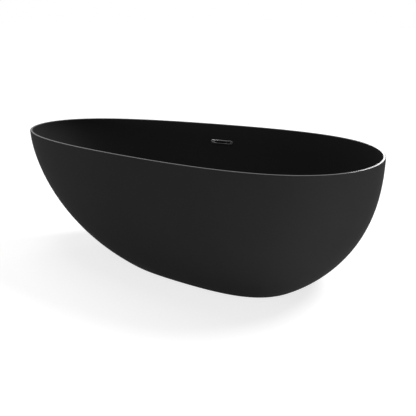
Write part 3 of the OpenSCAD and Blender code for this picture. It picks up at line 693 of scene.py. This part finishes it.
def polish_rim(piece, ring):
    """The rim's flat top, which starts at this ring, takes a brighter polish from hands and cloths."""
    piece.data.materials.append(finishes["polished_rim"])
    for face in piece.data.polygons[ring * SIDES:(ring + 1) * SIDES]:
        face.material_index = 1


RECESS_RADIUS = 37          # the seat in the basin's floor for the drain flange
RECESS_DEPTH = 3
RECESS_EDGE = 1.2           # rounding where the floor turns down into the seat
RECESS_EDGE_STEPS = 4
BOSS_RADIUS = 42
BARREL_HOLE = 26
SEAT_Z = FLOOR_HEIGHT - RECESS_DEPTH
PAST = 1                    # how far a cutter runs past the face that it cuts
DRAIN_SIDES = 128           # points round the drain's holes and its cap


def solid_rod(name, radius, z0, z1, edge=0.0):
    """A closed rod on the drain's axis, with its upper end flared by edge where it cuts a soft edge."""
    straight = z1 - edge - PAST
    levels = [(radius, z0), (radius, straight)]
    if edge:
        for a in quarter_turn(RECESS_EDGE_STEPS):
            levels.append((radius + edge * (1 - math.cos(a)), straight + edge * math.sin(a)))
        levels.append((radius + edge + PAST, z1))
    else:
        levels.append((radius, z1))
    rod = turned_object(name, levels, DRAIN_SIDES, finishes["satin_acrylic"])
    place_mesh(rod, drain_matrix)
    return rod


def cut_drain_seat(piece):
    """A boss under the floor, a shallow seat for the drain flange and a hole for its barrel."""
    boss_bottom = SEAT_Z - WALL
    cut(piece, solid_rod("boss", BOSS_RADIUS, boss_bottom, FLOOR_HEIGHT - WALL / 2), "UNION")
    cut(piece, solid_rod("seat", RECESS_RADIUS, SEAT_Z, FLOOR_HEIGHT + PAST, edge=RECESS_EDGE))
    cut(piece, solid_rod("hole", BARREL_HOLE, boss_bottom - PAST, FLOOR_HEIGHT))


TRIM_LENGTH = 116
TRIM_HEIGHT = 18
TRIM_BORDER = 8
TRIM_SEAT = 0.8             # from the slit's middle to the flange's back, before it is bent to the wall
TRIM_THICK = 2.5
SLIT_HEIGHT = 10
SLIT_LENGTH = TRIM_LENGTH - 2 * TRIM_BORDER
SLEEVE_WALL = 2
SLEEVE_END = 10
SLEEVE_PLAY = 1             # room left round the sleeve in the basin's slot


def cut_overflow_slot(piece):
    """The slot in the basin's wall that takes the trim's sleeve."""
    length = SLIT_LENGTH + 2 * SLEEVE_WALL + SLEEVE_PLAY
    height = SLIT_HEIGHT + 2 * SLEEVE_WALL + SLEEVE_PLAY
    rings = [stadium_ring(length, height, y) for y in (2 * WALL, -WALL)]
    cutter = rings_object("slot_cutter", rings, False, finishes["satin_acrylic"])
    place_mesh(cutter, overflow_matrix)
    cut(piece, cutter)


make_shell()
make_basin()

# ---------------------------------------------------------------- overflow trim

TRIM_EDGE = 1.4             # rounding of the trim's outer edge
TRIM_EDGE_STEPS = 6
TRIM_LIP = 0.4              # and of the edge round its slit
TRIM_LIP_STEPS = 4
TRIM_GAP = 0.05             # from the flange's back to the curved wall
EAR_LENGTH = 10
EAR_FRONT, EAR_BACK = 3, 8
EAR_X = SLIT_LENGTH / 2 - EAR_LENGTH / 2
EAR_HOLE = 2.2
EAR_HOLE_SIDES = 48
NEAR_ANGLES = np.radians(OVERFLOW_ANGLE + np.linspace(-6, 6, 9))    # where the wall by the trim is measured
NEAR_ROWS = 60              # and how often up the wall
NEAR_STEP = 0.02            # see rim_inner_point


def curve_terms(x, z):
    """The terms of a curved surface y over x and z."""
    return [x * x, x * z, z * z, x, z, x * 0 + 1]


def wall_curve():
    """Factors of the wall's depth by the overflow for curve_terms, fitted in the overflow's own frame."""
    to_frame = np.array(overflow_matrix.inverted())
    rows, depths = [], []
    for a in NEAR_ANGLES:
        rim_xy = rim_inner_point(a, NEAR_STEP)
        for t in np.linspace(0, math.pi / 2, NEAR_ROWS):
            x, y, z = (to_frame @ np.append(basin_points(np.array([a]), rim_xy, t)[0], 1))[:3]
            if abs(z) < TRIM_HEIGHT:
                rows.append(curve_terms(x, z))
                depths.append(y)
    return np.linalg.lstsq(np.array(rows), np.array(depths), rcond=None)[0]


def seat_on_wall(points, factors):
    """Bends the trim's flange to the wall. Its sleeve stays straight past the wall's face."""
    x, y, z = points.T
    wall_y = np.column_stack(curve_terms(x, z)) @ factors
    share = np.clip(1 - (y + TRIM_SEAT) / WALL, 0, 1)
    return np.column_stack([x, y + share * (wall_y + TRIM_SEAT - TRIM_GAP), z])


def trim_rings():
    """The trim's section from the back of its flange, over its front and through its slit, to its sleeve."""
    front = -TRIM_SEAT - TRIM_THICK
    rings = [stadium_ring(TRIM_LENGTH, TRIM_HEIGHT, -TRIM_SEAT)]
    for a in quarter_turn(TRIM_EDGE_STEPS):
        drawn_in = 2 * TRIM_EDGE * (1 - math.cos(a))
        y = front + TRIM_EDGE * (1 - math.sin(a))
        rings.append(stadium_ring(TRIM_LENGTH - drawn_in, TRIM_HEIGHT - drawn_in, y))
    for a in quarter_turn(TRIM_LIP_STEPS):
        grown = 2 * TRIM_LIP * (1 - math.sin(a))
        y = front + TRIM_LIP * (1 - math.cos(a))
        rings.append(stadium_ring(SLIT_LENGTH + grown, SLIT_HEIGHT + grown, y))
    rings.append(stadium_ring(SLIT_LENGTH, SLIT_HEIGHT, SLEEVE_END))
    for y in (SLEEVE_END, -TRIM_SEAT):
        rings.append(stadium_ring(SLIT_LENGTH + 2 * SLEEVE_WALL, SLIT_HEIGHT + 2 * SLEEVE_WALL, y))
    return rings


def add_ear(piece, side):
    """A block across one end of the slit, with the hole of a screw. side is -1 or 1."""
    outlines = []
    for y in (EAR_BACK, EAR_FRONT):
        ring = stadium_ring(SLIT_LENGTH + SLEEVE_WALL, SLIT_HEIGHT + SLEEVE_WALL, y)
        ring[:, 0] = side * np.maximum(ring[:, 0], SLIT_LENGTH / 2 - EAR_LENGTH)
        outlines.append(ring[::side])
    cut(piece, rings_object("ear", outlines, False, finishes["chrome"]), "UNION")
    profile = [(EAR_HOLE, 0), (EAR_HOLE, SLEEVE_END)]
    hole = turned_object("ear_hole", profile, EAR_HOLE_SIDES, finishes["chrome"])
    place_mesh(hole, Matrix.Translation((side * EAR_X, 0, 0)) @ Matrix.Rotation(-math.pi / 2, 4, "X"))
    cut(piece, hole)


def make_trim():
    """The overflow's trim: a bar-shaped ring with soft edges, its sleeve, and two ears with screw holes."""
    factors = wall_curve()
    rings = [seat_on_wall(ring, factors) for ring in trim_rings()]
    piece = rings_object("slot_trim", rings, True, finishes["chrome"])
    for side in (-1, 1):
        add_ear(piece, side)
    place_mesh(piece, overflow_matrix)
    finish_piece(piece, "root", "overflow_trim")


# ---------------------------------------------------------------- overflow hose

HOSE_RADIUS = 14
HOSE_WALL = 2
HOSE_BEND = 80
HOSE_END = 33.5             # where it meets the waste body, from the drain's axis
HOSE_SIDES = 40
INLET_Z = 66                # height of its level run into the waste body
HOSE_START = -80            # its upper end, below the overflow along the overflow's own z
SPIGOT_Y = 22.5             # and behind the overflow along the overflow's own y
CUFF = 22                   # plain length at each end, where the clips sit
RIB_PITCH = 5.0
RIB_DEPTH = 1.3
RIB_INSIDE = 0.4            # share of a rib's depth that shows on the inside
RIB_STEPS = 8


def hose_route(step):
    """The hose's length, and places down it as (reach from the drain, height, ring's lean, length so far)."""
    tilt = overflow_tilt
    wall_reach = overflow_place[1] / math.cos(overflow_turn)
    top_reach = wall_reach + SPIGOT_Y * math.cos(tilt) + HOSE_START * math.sin(tilt)
    top_z = overflow_place[2] - SPIGOT_Y * math.sin(tilt) + HOSE_START * math.cos(tilt)
    bend_z = INLET_Z + HOSE_BEND
    drop = (top_z - bend_z + HOSE_BEND * math.sin(tilt)) / math.cos(tilt)
    bend_reach = top_reach - drop * math.sin(tilt) - HOSE_BEND * math.cos(tilt)
    curve = HOSE_BEND * (math.pi / 2 - tilt)
    total = drop + curve + bend_reach - HOSE_END
    places = []
    for along in np.linspace(0, total, round(total / step) + 1):
        if along < drop:
            lean = math.pi / 2 - tilt
            reach = top_reach - along * math.sin(tilt)
            height = top_z - along * math.cos(tilt)
        elif along < drop + curve:
            lean = math.pi / 2 - tilt - (along - drop) / HOSE_BEND
            reach = bend_reach + HOSE_BEND * math.sin(lean)
            height = bend_z - HOSE_BEND * math.cos(lean)
        else:
            lean = 0.0
            reach = bend_reach - (along - drop - curve)
            height = INLET_Z
        places.append((reach, height, lean, along))
    return total, places


def hose_ring(radius, reach, height, lean):
    """A ring about the hose's middle line at one place of its route."""
    turn = full_turn(HOSE_SIDES)
    across, out = radius * np.sin(turn), radius * np.cos(turn)
    return np.column_stack([across, reach + out * math.sin(lean), height - out * math.cos(lean)])


def make_hose():
    """The overflow hose, ribbed between the plain cuffs at its ends."""
    total, places = hose_route(RIB_PITCH / RIB_STEPS)
    outside, inside = [], []
    for reach, height, lean, along in places:
        ribbed = CUFF < along < total - CUFF
        dip = RIB_DEPTH / 2 * (1 - math.cos(2 * math.pi * (along - CUFF) / RIB_PITCH)) if ribbed else 0.0
        outside.append(hose_ring(HOSE_RADIUS - dip, reach, height, lean))
        inside.append(hose_ring(HOSE_RADIUS - HOSE_WALL - RIB_INSIDE * dip, reach, height, lean))
    piece = rings_object("ribbed_overflow_hose", outside + inside[::-1], True, finishes["grey_hose"])
    place_mesh(piece, drain_matrix)
    finish_piece(piece, "root", "overflow_hose")


# ---------------------------------------------------------------- levelling feet

STUD_RADIUS = 6
STUD_SIDES = 32
THREAD_PITCH = 1.75
THREAD_DEPTH = 1.07
THREAD_STEPS = 8
THREAD_CLEAR = 1            # plain run between the collar and the thread
THREAD_FLANK = 2.3          # steepness of its flanks: above 2 leaves a flat crest
THREAD_RUN_OUT = 0.4        # share of its depth that is left at its upper end
STUD_FOOT, STUD_TOP = 4, 104
COLLAR_FLATS = 17
COLLAR_BASE, COLLAR_TOP = 12, 18
NUT_FLATS = 19
NUT_BASE, NUT_TOP = 74, 84
NUT_BORE = 6.05
NUT_MOUTH = 0.6             # chamfer at each end of the bore
HEXAGON_SIDES = 72
HEXAGON_FACE = 0.96         # radius of its end faces, as a share of half its flats
HEXAGON_FLARE = 0.22        # how much wider the chamfer gets
HEXAGON_CHAMFER = 0.13      # and over what share of its height
HEXAGON_STEPS = (0.0, 0.35, 0.7, 1.0)


def hexagon_rings(flats, z0, z1):
    """Rings of a hexagon bar whose corners are turned off at both ends."""
    turn = full_turn(HEXAGON_SIDES)
    across = flats / 2 / np.cos((turn + math.pi / 6) % (math.pi / 3) - math.pi / 6)
    rings = []
    for drop in HEXAGON_STEPS:
        cone = flats / 2 * (HEXAGON_FACE + HEXAGON_FLARE * drop)
        rings.append((np.minimum(across, cone), z0 + drop * HEXAGON_CHAMFER * (z1 - z0)))
    rings += [(radius, z0 + z1 - z) for radius, z in rings[::-1]]
    return [level_ring(radius, z, HEXAGON_SIDES) for radius, z in rings]


def stud_middle(node):
    """A stud's axis seen from above, in metres."""
    low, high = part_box(node)
    return (low.x + high.x) / 2, (low.y + high.y) / 2


def stud_rings():
    """A stud from its foot to its tip, with the thread's helix as a dip in each ring."""
    turn = full_turn(STUD_SIDES)
    start, end = COLLAR_TOP + THREAD_CLEAR, STUD_TOP - THREAD_CLEAR
    threaded = np.arange(start, end, THREAD_PITCH / THREAD_STEPS)[1:]
    rings = []
    for z in [STUD_FOOT, COLLAR_BASE, start, *threaded, end]:
        phase = (z / THREAD_PITCH - turn / (2 * math.pi)) % 1
        groove = THREAD_DEPTH * np.minimum(1, THREAD_FLANK * np.minimum(phase, 1 - phase))
        run_in = min(1, max(0, z - start) / THREAD_PITCH, (end - z) / THREAD_PITCH + THREAD_RUN_OUT)
        radius = STUD_RADIUS - (THREAD_DEPTH - groove) * run_in * (z > start)
        rings.append(level_ring(radius, z, STUD_SIDES))
    rings.append(level_ring(STUD_RADIUS - THREAD_DEPTH, STUD_TOP, STUD_SIDES))
    return rings


def make_studs():
    """The feet's threaded studs, each with a hexagon collar for a spanner."""
    zinc_finish = finishes["zinc_steel"]
    pattern = rings_object("stud_pattern", stud_rings(), False, zinc_finish)
    collar = hexagon_rings(COLLAR_FLATS, COLLAR_BASE, COLLAR_TOP)
    cut(pattern, rings_object("collar", collar, False, zinc_finish), "UNION")
    for node in nodes_ending("_stud"):
        piece = add_object(node.replace("_stud", "_threaded_stud"), pattern.data.copy())
        piece.data.transform(Matrix.Translation((*stud_middle(node), 0)))
        finish_piece(piece, node, node)
    bpy.data.objects.remove(pattern)


def make_lock_nuts():
    """A lock nut on each stud, up against its rail."""
    bore = [
        (NUT_BORE + NUT_MOUTH, NUT_TOP),
        (NUT_BORE, NUT_TOP - NUT_MOUTH),
        (NUT_BORE, NUT_BASE + NUT_MOUTH),
        (NUT_BORE + NUT_MOUTH, NUT_BASE),
    ]
    nut = hexagon_rings(NUT_FLATS, NUT_BASE, NUT_TOP)
    nut += [level_ring(radius, z, HEXAGON_SIDES) for radius, z in bore]
    nut_faces = skin_faces(len(nut), HEXAGON_SIDES, True)
    rings, faces = [], []
    for node in nodes_ending("_stud"):
        x, y = stud_middle(node)
        first = len(rings) * HEXAGON_SIDES
        rings += [ring + np.array([x / MM, y / MM, 0]) for ring in nut]
        faces += [tuple(first + corner for corner in face) for face in nut_faces]
    piece = add_mesh("chamfered_lock_nuts", np.concatenate(rings), faces, finishes["zinc_steel"])
    finish_piece(piece, "root", "lock_nuts")


# ---------------------------------------------------------------- stopper

CAP_BOTTOM = 137.9
CAP_TOP = 142.9
CAP_RADIUS = 31
CAP_LOWER_EDGE = 1          # rounding of its lower edge
CAP_LOWER_STEPS = 4
CAP_EDGE = 2.0              # and of its upper one
CAP_EDGE_STEPS = 8
CAP_CROWN = 0.7             # how far its middle stands above its shoulder
CAP_CROWN_SHARES = np.linspace(1, 0.06, 16)[1:]


def make_drain_cap():
    """The stopper's cap: slightly domed, with a soft edge all round."""
    bottom = CAP_RADIUS - CAP_LOWER_EDGE
    profile = [(bottom, CAP_BOTTOM)]
    for a in quarter_turn(CAP_LOWER_STEPS)[1:]:
        z = CAP_BOTTOM + CAP_LOWER_EDGE * (1 - math.cos(a))
        profile.append((bottom + CAP_LOWER_EDGE * math.sin(a), z))
    for a in quarter_turn(CAP_EDGE_STEPS):
        z = CAP_TOP - CAP_CROWN - CAP_EDGE * (1 - math.sin(a))
        profile.append((CAP_RADIUS - CAP_EDGE * (1 - math.cos(a)), z))
    shoulder = CAP_RADIUS - CAP_EDGE
    for share in CAP_CROWN_SHARES:
        profile.append((shoulder * share, CAP_TOP - CAP_CROWN * share ** 2))
    piece = turned_object("domed_drain_cap", profile, DRAIN_SIDES, finishes["chrome"])
    place_mesh(piece, drain_matrix)
    finish_piece(piece, "stopper", "drain_cap")


SPRING_BOTTOM, SPRING_TOP = 104.5, 112.0
SPRING_RADIUS = 4.2
SPRING_WIRE = 0.4           # radius of its wire
SPRING_WIRE_SIDES = 16
SPRING_END = 0.05           # gap between its end coils and what they press on
SPRING_DEAD = 0.75          # turns at each end that lie against each other
SPRING_DEAD_PITCH = 2.1     # their pitch, in radii of the wire
SPRING_ACTIVE = 4.0
SPRING_STEPS = 30


def make_spring():
    """The stopper's spring. Its lower end sits in the cartridge and its upper end under the stem."""
    low, high = SPRING_BOTTOM + SPRING_WIRE + SPRING_END, SPRING_TOP - SPRING_WIRE - SPRING_END
    dead_rise = SPRING_DEAD * SPRING_DEAD_PITCH * SPRING_WIRE
    turns = 2 * SPRING_DEAD + SPRING_ACTIVE
    marks = [0, SPRING_DEAD, SPRING_DEAD + SPRING_ACTIVE, turns]
    heights = [low, low + dead_rise, high - dead_rise, high]
    around = full_turn(SPRING_WIRE_SIDES)
    rings = []
    for turn in np.linspace(0, turns, round(turns * SPRING_STEPS) + 1):
        angle = 2 * math.pi * turn
        radius = SPRING_RADIUS + SPRING_WIRE * np.cos(around)
        z = np.interp(turn, marks, heights) + SPRING_WIRE * np.sin(around)
        rings.append(np.column_stack([radius * math.cos(angle), radius * math.sin(angle), z]))
    piece = rings_object("coiled_stopper_spring", rings[::-1], False, finishes["spring_steel"])
    place_mesh(piece, drain_matrix)
    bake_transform(piece)
    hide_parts("stopper_spring")


# ---------------------------------------------------------------- welds

WELD_RADIUS = 2.2
WELD_SIDES = 10
WELD_RIPPLE = 0.25          # how much thinner the bead is at a ripple
WELD_RIPPLE_EVERY = 4       # steps from one ripple to the next
WELD_STEP = 0.8
WELD_TIP = 0.4              # how far its first ring lies into its rounded end


def weld_path(x0, x1, z0, z1):
    """Places down one side of a rail's end, along its bottom and up its other side."""
    corners = [(x0, z1), (x0, z0), (x1, z0), (x1, z1)]
    path = []
    for (ax, az), (bx, bz) in zip(corners, corners[1:]):
        length = math.hypot(bx - ax, bz - az)
        for k in range(int(length / WELD_STEP)):
            share = k * WELD_STEP / length
            path.append((ax + (bx - ax) * share, az + (bz - az) * share))
    path.append(corners[-1])
    return np.array(path)


def weld_rings(path, y):
    """Rings of a bead along a path in the x-z plane at y, with its ripples and rounded ends."""
    along = np.gradient(path, axis=0)
    along /= np.linalg.norm(along, axis=1, keepdims=True)
    turn = full_turn(WELD_SIDES)
    rings = []
    for k, (place, run) in enumerate(zip(path, along)):
        from_end = min(k, len(path) - 1 - k) * WELD_STEP
        round_end = math.sqrt(min(1.0, (from_end + WELD_TIP) / WELD_RADIUS))
        radius = (WELD_RADIUS - WELD_RIPPLE * (k % WELD_RIPPLE_EVERY == 0)) * round_end
        side = radius * np.cos(turn)
        out = y - radius * np.sin(turn)
        rings.append(np.column_stack([place[0] + side * -run[1], out, place[1] + side * run[0]]))
    return rings


def make_welds():
    """A rippled weld round three sides of each cross rail's ends. The top is ground flat for the board."""
    for node in nodes_ending("_cross_rail"):
        low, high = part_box(node)
        path = weld_path(low.x / MM, high.x / MM, low.z / MM, high.z / MM - WELD_RADIUS)
        for side, y in (("front", low.y / MM), ("rear", high.y / MM)):
            bead = rings_object(f"{node}_{side}_weld", weld_rings(path, y), False, finishes["painted_steel"])
            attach(bead, "root")


make_trim()
make_hose()
make_studs()
make_lock_nuts()
make_drain_cap()
make_spring()
make_welds()

# ---------------------------------------------------------------- room

BACKDROP = 1.0              # strength of white that the camera, metal and glass see
ROOM = 0.03                 # strength of the dim room that a gloss sees on the camera's side
WORLD_LIGHT = 0.15          # strength of the even light from all round
BACKDROP_SIDE = (-0.35, 0.94, 0.0)      # direction of the backdrop's middle
BACKDROP_FADE = (-0.35, 0.15)           # how much of that direction a ray has where the backdrop fades in
FLOOR_SIZE = 60.0
FLOOR_TONE = 0.50
FLOOR_ROUGHNESS = 0.9
FLOOR_LIFT = 0.75           # how far a direct view of the floor is lifted towards white
WHITE = (1, 1, 1, 1)


class Backlit:
    """Nodes that give the camera, a gloss and a glass their own view of the backdrop."""

    def __init__(self, tree):
        self.tree = tree
        self.path = tree.nodes.new("ShaderNodeLightPath")

    def math(self, operation, first, second):
        """A maths node on two numbers or sockets."""
        node = self.tree.nodes.new("ShaderNodeMath")
        node.operation = operation
        for value, socket in ((first, node.inputs[0]), (second, node.inputs[1])):
            if isinstance(value, (int, float)):
                socket.default_value = value
            else:
                self.tree.links.new(value, socket)
        return node.outputs[0]

    def seen_directly(self):
        """1 for a ray by which the camera, a gloss or a glass sees the backdrop, else 0."""
        glossy, through_glass = self.path.outputs["Is Glossy Ray"], self.path.outputs["Is Transmission Ray"]
        gloss_or_glass = self.math("MAXIMUM", glossy, through_glass)
        return self.math("MAXIMUM", self.path.outputs["Is Camera Ray"], gloss_or_glass)


def make_world():
    """White behind the object, and a dim room on the other side, which only a gloss shows."""
    world = bpy.data.worlds.new("studio")
    bpy.context.scene.world = world
    world.use_nodes = True
    tree = world.node_tree
    lit = Backlit(tree)
    direction = tree.nodes.new("ShaderNodeTexCoord")
    side = tree.nodes.new("ShaderNodeVectorMath")
    side.operation = "DOT_PRODUCT"
    side.inputs[1].default_value = BACKDROP_SIDE
    tree.links.new(direction.outputs["Generated"], side.inputs[0])
    backdrop = map_range(tree, side.outputs["Value"], BACKDROP_FADE, (ROOM, BACKDROP), "SMOOTHSTEP")
    seen = lit.math("MAXIMUM", backdrop, lit.path.outputs["Is Camera Ray"])
    seen = lit.math("MULTIPLY", seen, lit.seen_directly())
    unseen = lit.math("SUBTRACT", 1.0, lit.seen_directly())
    strength = lit.math("ADD", seen, lit.math("MULTIPLY", unseen, WORLD_LIGHT))
    background = tree.nodes["Background"]
    background.inputs["Color"].default_value = WHITE
    tree.links.new(strength, background.inputs["Strength"])


def make_floor():
    """A plain pale floor. What the camera sees of it is lifted to white, and the shadow stays."""
    material = bpy.data.materials.new("studio_floor")
    material.use_nodes = True
    tree = material.node_tree
    shader = tree.nodes["Principled BSDF"]
    shader.inputs["Base Color"].default_value = (FLOOR_TONE, FLOOR_TONE, FLOOR_TONE, 1)
    shader.inputs["Roughness"].default_value = FLOOR_ROUGHNESS
    shader.inputs["Specular IOR Level"].default_value = 0.0
    shader.inputs["Emission Color"].default_value = WHITE
    lit = Backlit(tree)
    tree.links.new(lit.math("MULTIPLY", lit.seen_directly(), FLOOR_LIFT), shader.inputs["Emission Strength"])
    half = FLOOR_SIZE / 2 / MM
    corners = [(-half, -half, 0), (half, -half, 0), (half, half, 0), (-half, half, 0)]
    floor = add_mesh("studio_floor", corners, [(0, 1, 2, 3)], material)


KEY_FROM = (0.45, 0.55, 0.80)
KEY_STRENGTH = 2.2
KEY_SPREAD = math.radians(24)
SOFTBOXES = {
    # name: (place, aim, width, height, power)
    "overhead_softbox": ((-1.1, 0.1, 2.2), (0.0, 0.0, 0.5), 0.9, 0.6, 12),
    "back_softbox": ((0.3, 3.8, 1.6), (0.5, 0.0, 0.5), 0.8, 0.6, 15),
    "side_softbox": ((2.2, -1.2, 0.12), (0.4, 0.0, 0.2), 0.9, 0.2, 18),
    "narrow_end_softbox": ((-2.2, -1.6, 0.5), (-0.3, 0.0, 0.35), 0.9, 0.5, 18),
    "front_softbox": ((2.0, -3.9, 1.9), (0.0, 0.0, 0.5), 1.0, 0.6, 4),
}


def make_key_light():
    """One broad soft light from behind and above, towards the wide end."""
    data = bpy.data.lights.new("key_light", "SUN")
    data.energy = KEY_STRENGTH
    data.angle = KEY_SPREAD
    aim(add_object("key_light", data), Vector(KEY_FROM), axis="Z")


def make_softboxes():
    """Weak lamps that draw the rim's and the trim's highlights and lift the shell's dark sides."""
    for name, (place, target, width, height, power) in SOFTBOXES.items():
        data = bpy.data.lights.new(name, "AREA")
        data.shape = "RECTANGLE"
        data.size = width
        data.size_y = height
        data.energy = power
        lamp = add_object(name, data)
        lamp.location = place
        aim(lamp, Vector(target) - Vector(place))


make_world()
make_floor()
make_key_light()
make_softboxes()
bpy.context.scene.view_settings.view_transform = "Standard"
